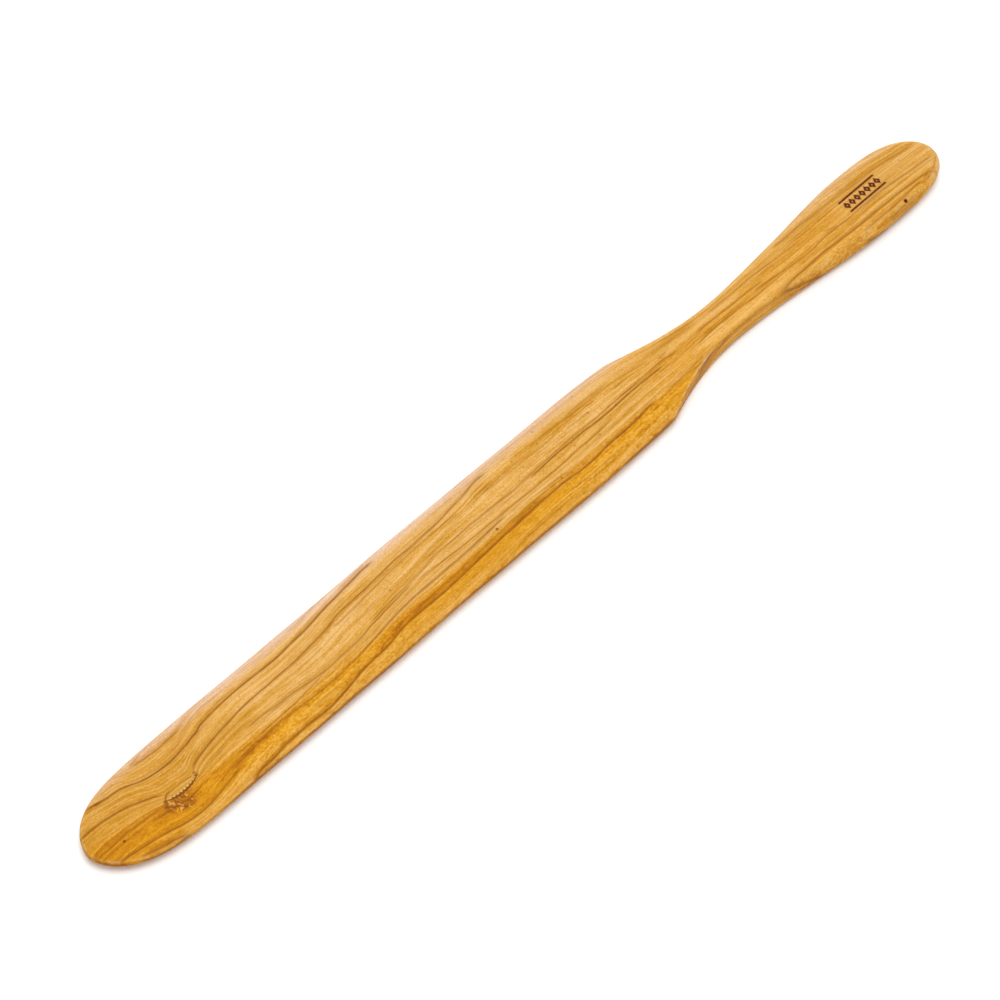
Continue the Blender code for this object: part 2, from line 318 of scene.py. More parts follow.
# Dark latewood lines: channel, half width in mm, strength, knots (s, y)
VEINS = (
    (0, 0.36, 0.85, ((7.2, 11.8), (10, 11.1), (12.5, 10.2), (15, 9.4), (18, 9.1), (20, 8.8), (22.5, 7.8),
     (25, 6.6), (28, 5.8), (31, 5.4), (35, 5.2), (38, 5.5), (42, 6), (45, 6.7), (47, 7.1), (48.5, 7.7),
     (51, 8.2), (55, 8.7), (60, 8.9), (65, 9.1), (70, 8.9), (75, 8.7), (80, 8.6), (85, 9.1), (90, 9.3),
     (95, 10), (100, 10.8), (105, 11.3), (110, 11.8), (116, 12.4), (122, 12.7))),
    (0, 0.32, 0.8, ((-1, 5.5), (2.2, 5.3), (5, 5), (9, 4.6), (12, 4.1), (14, 3.8), (17, 3), (20, 1.9),
     (22, 1.1), (24, 0.2), (25.5, -0.7), (27, -1.8))),
    (0, 0.32, 0.72, ((36.8, -2.9), (37.3, -1.6), (38, -0.7), (40, 0.2), (42.5, 0.9), (46, 1.6),
     (50, 2.2), (55, 2.8), (60, 3.5), (66, 3.8), (72, 3.9), (80, 3.9), (85, 4.2), (90, 4.6), (94, 5.1),
     (97, 5.7), (100, 6.3), (105, 6.6), (112, 6.9), (120, 7.4), (125, 7.8), (130, 7.65), (136, 7.9),
     (143, 8.2), (148, 8.8), (152, 9.3), (156, 10), (160, 10.8), (166, 11.1))),
    (1, 0.24, 0.45, ((24.8, -3.1), (26.5, -2.2), (28, -1.9), (31, -1.8), (34, -2), (36.5, -2.7),
     (37.4, -3.3))),
    (1, 0.28, 0.6, ((-2, -2.5), (0.6, -2.6), (5, -2.9), (10, -2.9), (15, -3.1), (19, -3.5), (23, -4))),
    (1, 0.34, 0.7, ((1, -7.3), (4, -7.7), (7, -8.1), (10, -8.7), (14, -9.4), (17, -9.9), (20, -10.5),
     (24, -11.5), (28, -12.05), (32, -12.05), (36, -11.7), (40, -11), (44, -10.3), (48, -9.9))),
    (0, 0.42, 0.7, ((7.5, -10.4), (11, -11.2), (15, -12.3), (19, -13.1), (22, -14), (25, -14.6))),
    (0, 0.36, 0.85, ((45, -15), (48, -14.5), (50, -14.05), (55, -13.8), (60, -13.2), (65, -13.1),
     (70, -13.1), (75, -13.4), (80, -13.1), (83, -12.8), (86, -12.4), (89, -12), (92, -11.5),
     (96, -11.2), (100, -11.1), (104, -10.8), (107, -10.3), (110, -9.9), (116, -9.7), (122, -9.9),
     (127, -9.9), (133, -9.7), (138, -9.5), (141, -9.2), (145, -9), (150, -8.7), (156, -8.5),
     (162, -8.3), (168, -8), (175, -7.9), (181, -8.1), (187, -8.4), (192, -8.2), (197, -7.9),
     (204, -7.9), (210, -7.6), (213, -7.3), (218, -7.2))),
    (1, 0.42, 0.55, ((44, -8.9), (50, -8.3), (55, -7.9), (60, -7.4), (65, -7.3), (70, -7.5), (75, -7.8),
     (80, -8.1), (85, -8.05), (90, -7.9), (95, -7.5), (100, -7), (105, -6.4), (110, -5.75), (115, -5.35),
     (125, -5.1), (135, -5.1), (143, -5), (150, -4.6), (158, -4.2))),
    (2, 0.3, 0.5, ((56, -2.1), (62, -2.2), (68, -2.7), (74, -3.2), (78, -3.7), (82, -4.1), (86, -4.35),
     (90, -4.3), (95, -4.15), (100, -3.8), (105, -3.05), (110, -2.6), (115, -2.1), (119, -1.65),
     (123, -1.5))),
    (1, 0.27, 0.5, ((105, -2.3), (108, -2), (110, -1.7), (114, -1.3), (118, -1.15), (122, -1),
     (126, -0.5), (130, 0.1), (132, 0.5), (136, 0.8), (142, 0.7), (150, 0.85), (158, 0.6), (165, 0.45),
     (170, 0.75), (175, 1.05), (182, 1.25), (188, 1.4), (195, 1.3), (202, 1.2), (208, 1.35), (216, 1.4),
     (224, 1.3), (229, 1.4), (232, 1.1), (236, 0.7))),
    (2, 0.27, 0.42, ((124, -1.8), (130, -2.1), (135, -2.6), (140, -2.85), (146, -2.9), (155, -3),
     (163, -3.15), (170, -3.3), (177, -3.1), (184, -2.85), (190, -2.6), (196, -2.85), (202, -2.5),
     (205, -2.2))),
    (0, 0.27, 0.42, ((57, -6.1), (65, -6.15), (70, -6.05), (74, -5.8), (78, -5.35), (82, -4.9),
     (84, -4.7))),
    (0, 0.26, 0.85, ((172, 0.2), (178, 0.3), (184, 0.65), (190, 0.6), (196, 0.5), (200, 0.2), (205, 0.1),
     (210, 0.2), (214, 0.35), (220, 0.25), (225, 0), (229.5, -0.15))),
    (2, 0.22, 0.55, ((229.5, 2.6), (231.5, 2.55), (233.5, 2.65))),
    (2, 0.3, 0.5, ((231, 1.3), (233, 0.9), (236, 0.75))),
    (2, 0.3, 0.42, ((96, 4.15), (101, 4.2), (106, 4.6), (112, 5.1), (118, 5.6), (124, 6), (130, 6.35),
     (137, 6.6), (145, 6.5), (150, 6.3))),
    (0, 0.32, 0.5, ((244, 0.95), (250, 0.9), (256, 0.6), (262, 0.35), (268, 0.2), (274, 0.05))),
    (1, 0.32, 0.5, ((241, -2.5), (245, -2), (250, -1.75), (256, -1.9), (262, -2.1), (267, -2.5),
     (273, -2.5))),
    (0, 0.32, 0.55, ((268, -0.9), (274, -1.4), (280, -1.95), (285, -2.5), (289, -2.8), (293, -2.85),
     (296, -2.45), (300, -2.3), (305, -2.5), (310, -2.7), (318, -2.6), (324, -2.7), (330, -3.1),
     (335, -3.75), (340, -4.2), (346.5, -4.6))),
    (2, 0.38, 0.65, ((238, -7.3), (243, -7.1), (247, -7.3), (251, -6.9), (256, -6.6), (262, -7),
     (268, -7.45), (273, -6.9), (280, -6.3), (288, -6.05), (295, -5.95), (300, -6.2), (306, -6.6),
     (312, -6.75), (320, -6.9), (330, -7.3), (337, -7.8), (343, -8.5))),
    (0, 0.5, 0.6, ((274, -8.4), (280, -8.55), (286, -8.7), (290, -9.1), (294, -9.8), (300, -9.8),
     (305, -10.3), (310, -10.6))),
    (1, 0.32, 0.6, ((308, -9.35), (314, -9.25), (320, -9.35), (326, -9.2), (331, -8.95), (336, -8.6))),
    (1, 0.24, 0.4, ((294, -4.95), (299, -4.85), (305, -5))),
    (1, 0.42, 0.45, ((284, 6.2), (290, 6.1), (297, 6.2), (304, 5.95), (310, 5.75), (316, 5.4), (320, 5),
     (326, 4.75), (330, 4.45), (335, 3.9), (340, 3.1), (346, 2.4))),
    (2, 0.27, 0.42, ((252, 3.65), (258, 3.45), (265, 3.4), (272, 3.35), (278, 2.95), (284, 2.6),
     (293, 2.35))),
    (1, 0.32, 0.38, ((299.5, -0.4), (301.5, -1), (303.5, -1.8), (306, -2.4))),
    (2, 0.2, 0.5, ((335, -9.3), (338, -8.9), (342, -7.6), (345, -6), (347.5, -4.4))),
    (2, 0.26, 0.8, ((25.2, -3.1), (25.9, -2.4), (26.9, -1.8), (28.6, -1.5))),
    (1, 0.2, 0.5, ((328.5, -11.2), (331, -11.3), (333.5, -11.7))),
    (1, 0.27, 0.6, ((26.5, 12.3), (29, 11.9), (31, 11.5), (33, 11.2), (36, 10.9), (40, 11.1), (43, 11.2),
     (45, 10.9))),
    (2, 0.27, 0.45, ((26.5, 12.3), (29, 13), (32, 13.5))),
    (0, 0.32, 0.4, ((195, 8), (199, 8.3), (204, 8.25), (209, 7.9), (214, 7.7))),
    (2, 0.22, 0.35, ((158, 5.9), (165, 5.8), (172, 5.8), (180, 5.7), (186, 5.6), (190, 5.6))),
    (1, 0.32, 0.42, ((222, -6.8), (228, -6.9), (233, -6.7), (238, -6.3), (241, -6))),
)

# Broad bands of darker (+) or lighter (-) wood, the last of them a painted sheen: start, end, fade along s,
# reach above, reach below, amount, centre line
BANDS = (
    (106, 165, 8, 1.1, 0.9, 0.85, ((100, -10), (110, -8.9), (125, -8.9), (140, -8.4), (150, -7.8),
     (168, -7.2))),
    (82, 106, 6, 0.5, 0.3, 0.55, ((80, -12.4), (86, -11.9), (92, -11), (100, -10.6), (107, -9.9))),
    (50, 80, 5, 0.7, 0.3, 0.3, ((48, -13.9), (60, -12.8), (80, -12.8))),
    (62, 83, 4, 0.9, 0.8, 0.38, ((55, 1.2), (70, 1.1), (84, 0.8))),
    (162, 188, 8, 1.5, 1.1, 0.45, ((155, 7.4), (170, 7), (190, 6.9))),
    (193, 216, 6, 1.2, 1, 0.42, ((190, 6.8), (205, 7), (218, 6.4))),
    (100, 114, 5, 0.8, 0.8, 0.3, ((98, 7.7), (106, 8), (114, 8.3))),
    (220, 244, 5, 1.4, 1.2, 0.45, ((216, 5.6), (232, 5), (246, 4.4))),
    (247, 274, 6, 0.9, 0.9, 0.32, ((244, -0.8), (255, -1.1), (274, -1.6))),
    (240, 290, 8, 0.8, 1.3, 0.6, ((238, -7.6), (255, -7.3), (268, -8.4), (282, -8.9), (296, -9.9))),
    (292, 306, 4, 2, 2, 0.25, ((290, 2.8), (308, 2.4))),
    (322, 345, 6, 1.6, 0.8, 0.35, ((318, 6.1), (330, 5.6), (340, 4.3), (348, 3.3))),
    (110, 117, 3, 1.1, 0.9, 0.45, ((106, 12.9), (112, 13.2), (120, 13.8))),
    (30, 43, 4, 0.9, 0.9, 0.3, ((26, 12.4), (36, 12.4), (46, 11.9))),
    (13, 21, 3, 0.8, 0.8, 0.5, ((10, -11), (16, -11.9), (24, -13.2))),
    (31, 37, 3, 0.8, 0.7, 0.3, ((28, 3.4), (40, 3.2))),
    (118, 132, 3, 0.55, 0.55, -0.45, ((116, -1.4), (126, -1), (135, -0.8))),
    (234, 262, 4, 0.8, 0.8, -0.4, ((230, 2.1), (245, 2.4), (265, 2.1))),
    (245, 275, 5, 0.6, 0.9, -0.35, ((240, -4.2), (255, -4.6), (280, -4.4))),
    (300, 330, 5, 0.35, 0.35, -0.45, ((296, -10.2), (315, -9.9), (334, -9.4))),
    (270, 310, 6, 0.6, 0.6, -0.3, ((265, -7.6), (285, -7.3), (312, -8.2))),
    (118, 170, 6, 0.5, 0.5, 0.28, ((115, 2), (140, 1.9), (172, 2.4))),
    (60, 84, 5, 0.5, 0.5, -0.25, ((56, 2.8), (84, 3))),
    (44, 58, 4, 0.5, 0.7, 0.3, ((40, -8.2), (50, -7.6), (60, -7))),
    (0, 22, 4, 0.8, 0.8, 0.25, ((0, -4.2), (10, -4.6), (24, -6.6))),
    (4, 58, 8, 3, 3, 0.34, ((0, -5.4), (20, -6.6), (40, -6.8), (62, -8.2))),
    (2, 56, 12, 5.5, 6, 0.3, ((0, 2), (60, 2))),
    (22, 32, 3, 1.6, 3.2, 0.38, ((20, -5), (26, -5.4), (34, -7.2))),
    (9, 15, 2, 0.6, 0.5, 0.6, ((6, 10.9), (10, 10.3), (16, 9.7))),
    (300, 330, 6, 0.9, 1.6, 0.3, ((296, -10.4), (315, -10.6), (334, -10.4))),
    (242, 282, 6, 0.8, 0.8, -0.5, ((238, -3.2), (260, -3.1), (286, -3.6))),
    (66, 168, 12, 9, 8, -0.12, ((60, 1), (170, 1))),
    (62, 166, 10, 1.6, 1.6, -0.26, ((58, 9), (110, 9), (172, 9.4))),
    (112, 160, 8, 1.3, 1.3, 0.18, ((108, 5.6), (165, 5.6))),
    (166, 210, 8, 1.2, 1.2, -0.22, ((160, 9.2), (214, 9))),
    (62, 108, 8, 1.6, 1.6, -0.22, ((58, -10.6), (80, -10.6), (110, -8.6))),
    # Painted sheen: a pale band on the facet at the near side of the butt
    (337, 347, 2, 0.35, 0.9, -0.8, ((333, -10.2), (338, -9.5), (342, -8.1), (345, -6.5), (347.5, -4.9))),
)

# Dots: s, y, radius in mm, strength
DOTS = (
    (9, -4.2, 0.45, 0.75), (11, -3.8, 0.35, 0.3), (173.5, 8.2, 0.35, 0.5), (183, 7.3, 0.35, 0.5),
    (185.7, 11.6, 0.4, 0.5), (201.3, 4.1, 0.35, 0.55), (184.7, 1.4, 0.35, 0.5), (191.3, 1.2, 0.3, 0.5),
    (189.7, -1.1, 0.35, 0.6), (197.5, -3.6, 0.35, 0.5), (178.5, -6.3, 0.35, 0.5), (192.7, -2.9, 0.3, 0.5),
    (206.8, 1.4, 0.3, 0.5), (208.8, 0.3, 0.35, 0.5), (152.5, -5.7, 0.5, 0.75), (116.7, 1.4, 0.35, 0.6),
    (174, 4.1, 0.3, 0.4), (203.2, 12.1, 0.35, 0.4), (12.6, 9.9, 0.8, 0.35), (21, 2.2, 0.3, 0.4),
    (39, 4, 0.35, 0.35), (63, 6.8, 0.3, 0.35), (88, -1.2, 0.3, 0.4), (101, 2.2, 0.3, 0.35),
    (133, 4.6, 0.3, 0.35), (146, 1.6, 0.3, 0.4), (262, 1.8, 0.3, 0.35), (287, -4, 0.3, 0.4),
    (303, 3.6, 0.3, 0.35), (338, 1.4, 0.3, 0.35), (36.9, -2.9, 0.6, 0.6), (25.2, -3.1, 0.6, 0.6),
    (28, -7.9, 0.7, 0.55), (24.2, -4.6, 0.55, 0.45), (37, -2, 0.45, 0.55),
)

VEIN_CHANNELS = 3           # every point keeps the nearest vein of each channel
VEIN_WIDTH = 0.82           # scale of all the widths in VEINS
VEIN_REACH = (3.5, 6.0)     # distances between which a vein fades out, in half widths
VEIN_TAIL = 0.3             # how far it runs on past its end knots
PROBE = 0.3                 # half the stretch over which its slope is measured
FAR_AWAY = 9.0              # distance where there is no vein or dot
NARROWEST = 0.4             # least gap between two growth rings
BOWS = ((0.26, 135, 38), (-0.12, 192, 20))  # how far the blade bows sideways, where, and over what stretch

# Border of the golden wood that runs along the near side
GOLD_BORDER = (
    (0, 1), (14, -1.5), (30, -3.8), (50, -5.4), (90, -6.2), (110, -6.8), (140, -7.4), (165, -7.2),
    (215, -6.6), (240, -7), (280, -6), (310, -7.5), (350, -7.5),
)


def flow_of(s, y):
    """Ring coordinate: the same along each of the FLOW lines."""
    lines = [curve(knots, s) for knots in FLOW]
    gaps = [np.maximum(a - b, NARROWEST) for a, b in zip(lines, lines[1:])]
    rates = [(a - b) / gap for a, b, gap in zip(FLOW_LEVELS, FLOW_LEVELS[1:], gaps)]
    beside = [np.ones_like(s), *rates, np.ones_like(s)]
    slopes = [2 * a * b / (a + b) for a, b in zip(beside, beside[1:])]
    level = FLOW_LEVELS[0] + (y - lines[0]) * slopes[0]
    for k, gap in enumerate(gaps):
        t = (y - lines[k + 1]) / gap
        between = hermite(t, gap, FLOW_LEVELS[k + 1], slopes[k + 1], FLOW_LEVELS[k], slopes[k])
        level = np.where(y < lines[k], between, level)
    return np.where(y < lines[-1], FLOW_LEVELS[-1] + (y - lines[-1]) * slopes[-1], level)


def tone_of(s, y):
    """How much darker (+) or lighter (-) the broad bands make the wood."""
    tone = np.zeros_like(s)
    for start, end, fade, above, below, amount, knots in BANDS:
        off = y - curve(knots, s)
        profile = np.exp(-((off / np.where(off > 0, above, below)) ** 2))
        tone += amount * profile * within(s, start, end, fade)
    return tone


def veins_near(s, y):
    """For each channel, the signed distance to its nearest vein, in half widths, and the ink of that vein."""
    aways = [np.full_like(s, FAR_AWAY) for _ in range(VEIN_CHANNELS)]
    inks = [np.zeros_like(s) for _ in range(VEIN_CHANNELS)]
    nearest = [np.full_like(s, VEIN_REACH[1]) for _ in range(VEIN_CHANNELS)]
    for channel, width, ink, knots in VEINS:
        start, end = knots[0][0], knots[-1][0]
        lean = (curve(knots, s + PROBE) - curve(knots, s - PROBE)) / (2 * PROBE)
        away = (y - curve(knots, s)) / np.sqrt(1 + lean**2) / (width * VEIN_WIDTH)
        fade = min(3.0, (end - start) / 4)
        strength = ink * smooth_step(s, start - VEIN_TAIL, start + fade)
        strength = strength * (1 - smooth_step(s, end - fade, end + VEIN_TAIL))
        strength = strength * (1 - smooth_step(np.abs(away), *VEIN_REACH))
        past_end = np.maximum(np.maximum(start - s, s - end), 0.0) / width
        distance = np.abs(away) + past_end
        near = distance < nearest[channel]
        for kept, value in ((aways, away), (inks, strength), (nearest, distance)):
            kept[channel] = np.where(near, value, kept[channel])
    return aways, inks


def dots_near(s, y):
    """Distance to the nearest dot, in its radii, and the ink of that dot."""
    nearest, dot_ink = np.full_like(s, FAR_AWAY), np.zeros_like(s)
    for dot_s, dot_y, radius, ink in DOTS:
        away = np.hypot((s - dot_s) * 0.8, y - dot_y) / radius
        near = away < nearest
        nearest, dot_ink = np.where(near, away, nearest), np.where(near, ink, dot_ink)
    return nearest, dot_ink


def golden(s, y, s_figure, y_figure, wall):
    """Golden, more saturated wood: along the near side, in the neck and on the walls."""
    border = curve(GOLD_BORDER, s_figure)
    gold = 1 - smooth_step(y_figure, border - 2.2, border + 2.0)
    gold = gold * (1 - 0.28 * smooth_step(s_figure, 235, 262))
    gold = gold * (1 - 0.48 * smooth_step(-y_figure, 10.0, 13.4))
    gold = np.maximum(gold, 0.42 * within(s, 236, 300, 22) * within(y, -6.0, 1.0, 4.0))
    return np.maximum(gold, 0.62 * wall)


def speckles(s, y, gold):
    """How coarsely the wood is speckled: the golden wood, and a stretch of the handle's near side."""
    places = np.maximum(within(s, 56, 108, 10), within(s, 182, 220, 8))
    handle = within(s, 266, 312, 14) * within(y, -11.0, -8.2, 1.6)
    return np.maximum(gold * (0.35 + 0.65 * places), 0.9 * handle)


def arris_highlight(s, y, row):
    """Painted highlight along the arris of the upper face, most on the near side of the neck."""
    arch = (row - (FACE_RINGS - 1) + 0.5) / (ROUND_STEPS + 1)
    on_arris = (row >= FACE_RINGS - 2) & (row <= WALL_ROW)
    arris_light = np.where(on_arris, np.exp(-(((arch - 0.45) / 0.32) ** 2)), 0.0)
    return arris_light * (1 + (y < 0) * (1.3 * within(s, 219, 240, 5) + 0.3 * within(s, 2, 22, 4)))


def knot_mask(s, y):
    along, across = (s - KNOT[0]) + 0.45 * (y - KNOT[1]), (y - KNOT[1])
    return 1 - smooth_step(np.hypot(along / 4.6, across / 3.5), 0.65, 1.1)


def relief(s, y):
    """Height to add to the upper face: slow undulation of hand work, the knot's dents and the pin knot."""
    wave = 0.020 * np.sin(s / 7.3 + y / 5.1)
    wave = wave + 0.016 * np.sin(s / 3.9 - y / 2.7 + 1.3)
    wave = wave + 0.03 * np.sin(s / 19.0 + 0.7)
    ds, dy = (s - KNOT[0]), (y - KNOT[1])
    reach = np.exp(-((ds / 3.4) ** 2) - ((dy / 2.3) ** 2))
    curl = np.sin(2.6 * ds + 1.4 * np.sin(1.7 * dy)) * np.sin(2.2 * dy + 0.9 * np.sin(1.9 * ds))
    knot = reach * (0.10 * curl - 0.06)
    eye = -0.10 * np.exp(-(((s - EYE[0]) / 5.4) ** 4) - (((y + 4.2) / 0.45) ** 2))
    pin_r = np.hypot(s - PIN[0], (y - PIN[1]) * PIN_SQUASH)
    pin = -0.45 * (1 - smooth_step(pin_r, 0.30, 0.85))
    return (wave + knot + eye + pin) / 1000


def depth_of(row, rows, z, arris_z):
    """0 on the upper face; below it, the depth in mm under the outermost ring of that face."""
    depth = np.where(row <= FACE_RINGS, 0.0, (arris_z - z) * 1000)
    depth = np.where(row == rows, SPINE_DEPTH, depth)
    return np.where(row >= LOWER_FACE_ROW, np.maximum(depth, 0), depth)


def carve(s, y, z, row):
    """Places in the row frame, with the bow of the blade, the marks of hand work and the skewed butt."""
    bow = sum(amount * np.exp(-(((s - place) / spread) ** 2)) for amount, place, spread in BOWS)
    wobble = 0.05 * np.sin(s / 6.1) + 0.05 * np.sin(s / 10.7 + 2.0)
    side = np.abs(y) / np.maximum(half_width(s / 1000) * 1000, 1.0)
    z = z + relief(s, y) * np.clip((1.02 - side) * 5, 0, 1) * (row < WALL_ROW)
    y_out = y + bow + wobble * np.clip(side, 0, 1)
    skewed = s / 1000 - BUTT_SKEW * y / 1000 * smooth_step(s / 1000, SKEW_START, LENGTH)
    placed = np.stack([-skewed, -y_out / 1000, z], -1)
    placed[:, 0] += (LOW.x + HIGH.x) / 2 - (placed[:, 0].min() + placed[:, 0].max()) / 2
    placed[:, 2] += LOW.z - placed[:, 2].min()
    return placed


def make_mesh(points, faces):
    mesh = bpy.data.meshes.new("turner_wood")
    mesh.vertices.add(len(points))
    mesh.vertices.foreach_set("co", np.ascontiguousarray(points, dtype=np.float32).ravel())
    mesh.loops.add(faces.size)
    mesh.loops.foreach_set("vertex_index", faces.astype(np.int32).ravel())
    mesh.polygons.add(len(faces))
    mesh.polygons.foreach_set("loop_start", np.arange(0, faces.size, 4, dtype=np.int32))
    mesh.update(calc_edges=True)
    mesh.validate()
    mesh.shade_smooth()
    return mesh


def set_attributes(mesh, values):
    for name, value in values.items():
        layer = mesh.attributes.new(name, "FLOAT", "POINT")
        layer.data.foreach_set("value", np.ascontiguousarray(value, dtype=np.float32))


def wood_attributes(s, y, row, depth):
    """What the material reads at every point: the figure of the wood, and where things are on the tool."""
    # Deeper down, the rings lean sideways through the board, and the underside shows another stretch of it
    turned = smooth_step(depth, 2.0, 6.0)
    s_figure = s + turned * 9.0
    y_figure = y + depth * (0.55 + 0.18 * np.sin(s / 21.0)) + turned * 1.5 * np.sin(s / 33.0 + 1.0)

    wall = within(row, WALL_ROW, WALL_ROW + WALL_STEPS, ROUND_STEPS + 1)
    gold = golden(s, y, s_figure, y_figure, wall)
    dot_away, dot_ink = dots_near(s, y)
    values = {
        "s_mm": s, "y_mm": y, "depth_mm": depth,
        "flow": flow_of(s_figure, y_figure),
        "tone": tone_of(s_figure, y_figure),
        "gold": gold,
        "speckled": speckles(s, y, gold),
        # Painted shade on the side walls, most along the middle of the blade
        "wall": wall * (0.30 + 0.70 * within(s, 45, 212, 15)),
        "arris_light": arris_highlight(s, y, row),
        "knot": knot_mask(s, y) * (row <= FACE_RINGS),
        # Painted highlight along the arris
        "dot_away": dot_away, "dot_ink": dot_ink,
        "top_side": row < WALL_ROW,
    }
    for k, (away, ink) in enumerate(zip(*veins_near(s_figure, y_figure))):
        values[f"away_{k}"] = away
        values[f"ink_{k}"] = ink
    return values


def build_turner():
    columns, upper_spine, lower_spine = build_columns()
    count, rows, _ = columns.shape
    half = len(upper_spine) - 1
    points = np.concatenate([columns.reshape(-1, 3), upper_spine, lower_spine])
    s, y, z = points[:, 0] * 1000, -points[:, 1] * 1000, points[:, 2]

    # The spines count as the rows before the first and after the last
    spines = np.repeat([-1, rows], half + 1)
    row = np.concatenate([np.tile(np.arange(rows), count), spines])
    arris_z = np.concatenate([np.repeat(columns[:, FACE_RINGS - 1, 2], rows), np.zeros(len(spines))])
    depth = depth_of(row, rows, z, arris_z)

    mesh = make_mesh(carve(s, y, z, row), loft_faces(count, rows, half))
    set_attributes(mesh, wood_attributes(s, y, row, depth))
    turner = bpy.data.objects.new("turner_body", mesh)
    bpy.context.scene.collection.objects.link(turner)
    return turner


# -------------------- colours, sRGB 0-255, and how they are lit
LIGHT = 1.43                # what a level surface gets, in units of the albedo
WASH = 0.004                # and what it reflects without colour
DARKEST = 0.004             # least albedo of any channel
MEAN_ALBEDO = (0.484, 0.242, 0.047)
CONTRAST = (1.06, 1.06, 1.20)  # how much wider each channel swings around its mean

# From the palest shade of the wood to the darkest
PALE_WOOD = ((0.0, (251, 202, 124)), (0.30, (238, 181, 92)), (0.62, (217, 153, 50)), (1.0, (180, 114, 10)))
GOLDEN_WOOD = ((0.0, (250, 188, 76)), (0.30, (237, 167, 42)), (0.62, (217, 143, 14)), (1.0, (176, 100, 0)))
# Painted sheen: the pale, pinkish reflection along the far edge of the blade
FAR_EDGE_SHEEN = ((255, 229, 194), (228, 180, 130))
# In pale wood and in golden wood
LATEWOOD = ((136, 70, 0), (142, 72, 0))
THREADS = ((206, 146, 26), (206, 138, 6))
VEIN_GLOW = (208, 138, 22)
KNOT_DARK = (140, 70, 0)
KNOT_GLINT = (252, 208, 130)
EYE_PALE = (246, 192, 104)
EYE_RIM = (116, 58, 0)
EYE_BEAD = (255, 222, 156)
# Painted highlight along the arris of the upper face
ARRIS_HIGHLIGHT = (250, 206, 132)
PORE = (152, 96, 0)
DOT = (112, 56, 0)
FLECK = (128, 72, 0)
PIN_DARK = (106, 46, 0)
SCORCH = (176, 102, 8)
CHAR = (94, 34, 0)


def linear(c):
    """sRGB 0-255 to linear."""
    c = c / 255
    return c / 12.92 if c <= 0.04045 else ((c + 0.055) / 1.055) ** 2.4


def wood(colour):
    """Albedo, with alpha, that shows as this sRGB colour on level wood, before CONTRAST widens its swing."""
    return (*(max((linear(c) - WASH) / LIGHT, DARKEST) for c in colour), 1.0)


# -------------------- material
class Nodes:
    """Short names for building a node tree. Every input takes a constant or a socket."""

    def __init__(self, name):
        self.material = bpy.data.materials.new(name)
        self.material.use_nodes = True
        self.tree = self.material.node_tree
        self.shader = self.tree.nodes["Principled BSDF"]

    def new(self, kind, **settings):
        node = self.tree.nodes.new(kind)
        for key, value in settings.items():
            setattr(node, key, value)
        return node

    def link(self, source, target):
        if isinstance(source, (int, float, tuple)):
            target.default_value = source
        else:
            self.tree.links.new(source, target)

    def filled(self, kind, sources, **settings):
        """First output of a new node whose inputs take the sources in turn."""
        node = self.new(kind, **settings)
        for source, target in zip(sources, node.inputs):
            self.link(source, target)
        return node.outputs[0]

    def attribute(self, name):
        return self.new("ShaderNodeAttribute", attribute_name=name).outputs["Fac"]

    def math(self, operation, a, b=0.0, c=0.0, clamp=False):
        return self.filled("ShaderNodeMath", (a, b, c), operation=operation, use_clamp=clamp)

    def multiply(self, first, *others):
        for other in others:
            first = self.math("MULTIPLY", first, other)
        return first

    def add_scaled(self, value, scale, base, clamp=False):
        return self.math("MULTIPLY_ADD", value, scale, base, clamp)

    def swing(self, noise, amount, base):
        """The base plus the noise's swing around its middle, times the amount."""
        return self.add_scaled(self.math("SUBTRACT", noise, 0.5), amount, base)

    def distance(self, a, b):
        return self.math("ABSOLUTE", self.math("SUBTRACT", a, b))

    def largest(self, values):
        top, *others = values
        for value in others:
            top = self.math("MAXIMUM", top, value)
        return top

    def noise(self, x, y, z, detail=3.0, rough=0.5, distortion=0.0):
        """Noise at (x, y, z), each a constant, a socket or a pair of a socket and its scale."""
        sources = [self.multiply(*source) if isinstance(source, tuple) else source for source in (x, y, z)]
        node = self.new("ShaderNodeTexNoise")
        self.link(self.filled("ShaderNodeCombineXYZ", sources), node.inputs["Vector"])
        node.inputs["Scale"].default_value = 1.0
        node.inputs["Detail"].default_value = detail
        node.inputs["Roughness"].default_value = rough
        node.inputs["Distortion"].default_value = distortion
        return node.outputs["Fac"]

    def ramp(self, factor, stops):
        node = self.new("ShaderNodeValToRGB")
        elements = node.color_ramp.elements
        while len(elements) < len(stops):
            elements.new(0.5)
        for element, (at, colour) in zip(elements, stops):
            element.position = at
            element.color = wood(colour)
        self.link(factor, node.inputs[0])
        return node.outputs[0]

    def map(self, value, low, high, to_low=0.0, to_high=1.0):
        return self.filled("ShaderNodeMapRange", (value, low, high, to_low, to_high), clamp=True)

    def mix(self, factor, a, b):
        node = self.new("ShaderNodeMix", data_type="RGBA")
        self.link(factor, node.inputs[0])
        self.link(a, node.inputs[6])
        self.link(b, node.inputs[7])
        return node.outputs[2]

    def paint(self, base, colour, cover, strength=1.0):
        """The base colour with another laid over it, as far as it is covered."""
        return self.mix(self.math("MULTIPLY", cover, strength, clamp=True), base, wood(colour))


class Wood(Nodes):
    """Olive wood: the coordinates that its layers share, and the masks that they leave for the relief."""

    def __init__(self, name):
        super().__init__(name)
        self.s, self.y = self.attribute("s_mm"), self.attribute("y_mm")
        self.depth = self.attribute("depth_mm")
        self.gold, self.top_side = self.attribute("gold"), self.attribute("top_side")
        # The rings, with a slow wander, so that nothing is ruled
        flow = self.attribute("flow")
        slow = self.noise((self.s, 0.045), (flow, 0.22), self.depth, detail=2.0)
        self.ring = self.math("ADD", flow, self.multiply(self.math("SUBTRACT", slow, 0.5), 0.9))
        self.masks = {}

    def of_gold(self, colours):
        """A colour for pale wood that goes over into one for golden wood."""
        return self.mix(self.gold, *(wood(colour) for colour in colours))


